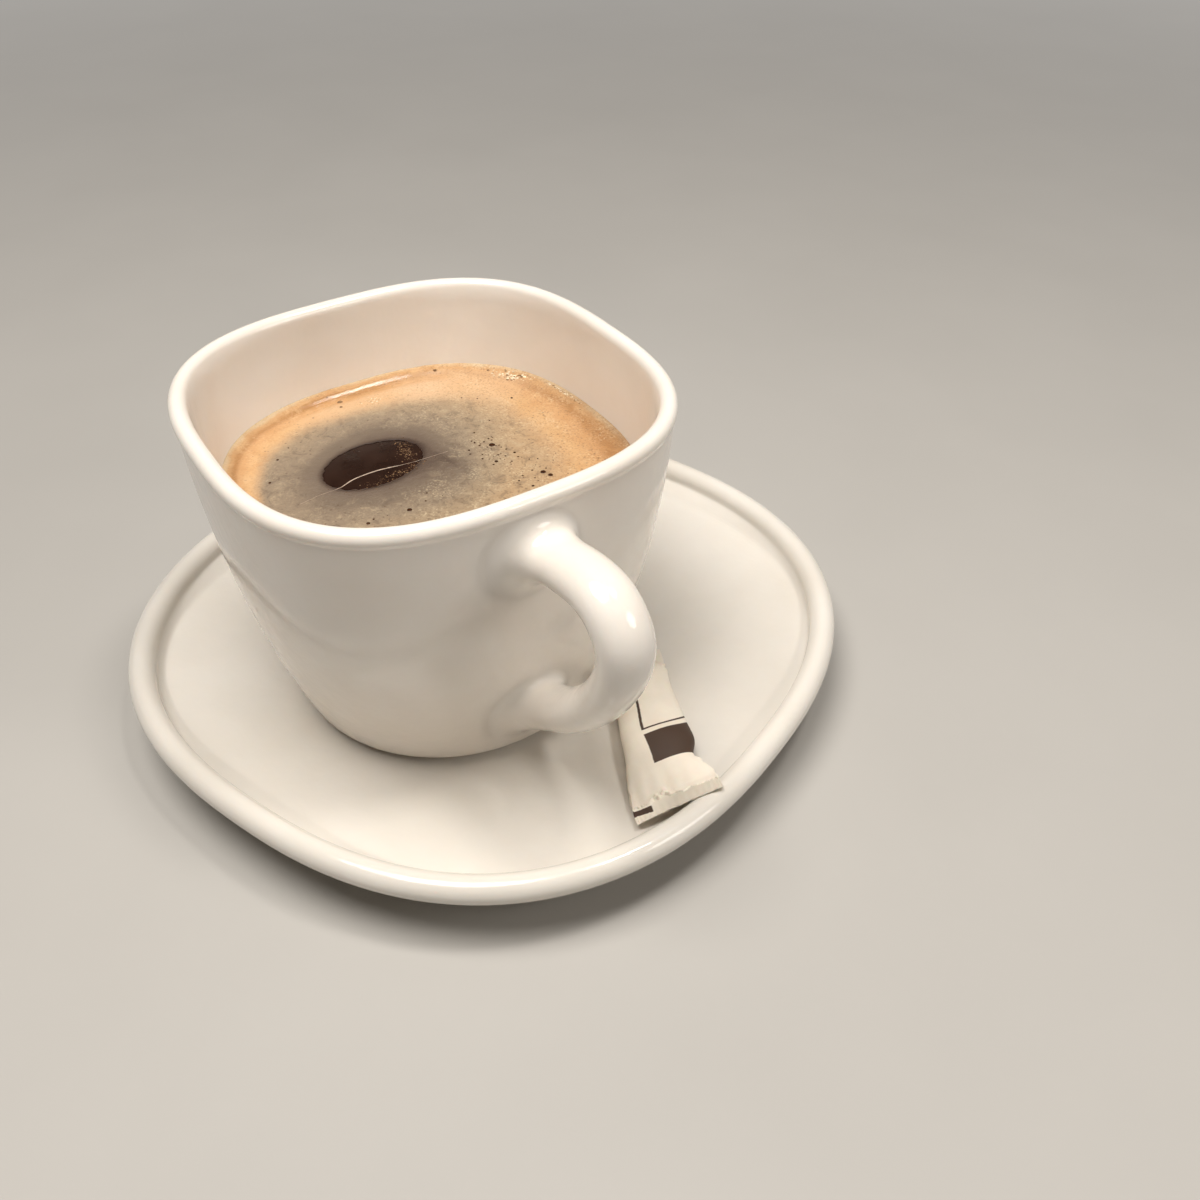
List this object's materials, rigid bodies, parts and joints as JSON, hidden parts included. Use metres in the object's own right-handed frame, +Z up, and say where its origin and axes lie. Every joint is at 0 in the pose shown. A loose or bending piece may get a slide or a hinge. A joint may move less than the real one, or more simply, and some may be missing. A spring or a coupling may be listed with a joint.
{
  "type": "lungo coffee in a cup and saucer",
  "caption": "Long black coffee with crema in a rounded-square porcelain cup with a loop handle, on a rounded-square saucer with a paper sugar sachet.",
  "frame": {"origin": "middle of the saucer's foot ring, on the table", "axes": "+Z up, +X from the cup towards its handle, +Y across the handle"},
  "size_m": [0.1444, 0.1444, 0.0698],
  "materials": {
    "saucer_china": "glossy warm white glaze",
    "cup_china": "glossy warm white glaze",
    "coffee": "wet, nearly black brown",
    "crema": "fine wet foam, tan at the wall and grey-beige in the middle",
    "paper": "smooth cream paper"
  },
  "bodies": {
    "root": {"saucer": "saucer_china", "cup": "cup_china", "coffee": "coffee", "crema": "crema", "sugar_sachet": "paper"}
  },
  "joints": []
}
